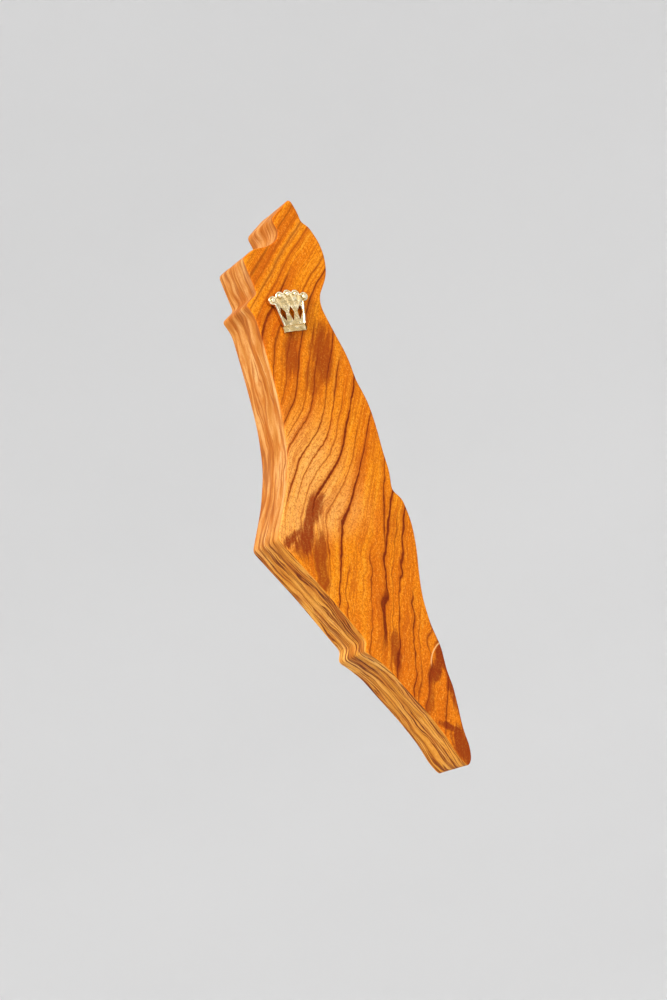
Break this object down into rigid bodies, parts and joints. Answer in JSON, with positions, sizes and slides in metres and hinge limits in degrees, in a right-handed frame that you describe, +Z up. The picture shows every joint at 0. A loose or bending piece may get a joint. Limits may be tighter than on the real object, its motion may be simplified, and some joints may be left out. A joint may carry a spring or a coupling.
{
  "type": "mezuzah case",
  "caption": "Olive-wood mezuzah case with an irregular sawn outline, a crown ornament in front, a scroll cavity behind a screwed back cover and keyhole slots to hang it by.",
  "frame": {"origin": "centre of the upper keyhole's entry hole, on the flat back face", "axes": "+Z up the length as hung on a doorpost, +Y out of the back face into the wall, +X to the right as seen from the front"},
  "size_m": [0.0431, 0.0184, 0.1595],
  "materials": {
    "olive_wood": "polished, strongly figured",
    "cover_wood": "sanded, oiled",
    "crown_metal": "polished pale gold plate",
    "screw_brass": "satin, slightly dulled",
    "parchment": "matte, blank",
    "clear_film": "clear film"
  },
  "bodies": {
    "case": {"case_body": "olive_wood", "crown_emblem": "crown_metal"},
    "cover": {"back_cover": "cover_wood"},
    "upper_screw": {"cover_screw_upper": "screw_brass"},
    "lower_screw": {"cover_screw_lower": "screw_brass"},
    "scroll": {"parchment_scroll": "parchment", "scroll_sleeve": "clear_film"}
  },
  "joints": [
    {"name": "cover_lift", "type": "slide", "parent": "case", "child": "cover", "axis": [0, 1, 0], "range_m": [0, 0.04]},
    {"name": "upper_screw_out", "type": "slide", "parent": "cover", "child": "upper_screw", "axis": [0, 1, 0], "range_m": [0, 0.012]},
    {"name": "lower_screw_out", "type": "slide", "parent": "cover", "child": "lower_screw", "axis": [0, 1, 0], "range_m": [0, 0.012]},
    {"name": "scroll_out", "type": "slide", "parent": "case", "child": "scroll", "axis": [0, 1, 0], "range_m": [0, 0.02]}
  ],
  "couplings": [
    {"joint": "scroll_out", "follows": "cover_lift", "ratio": 0.5}
  ]
}
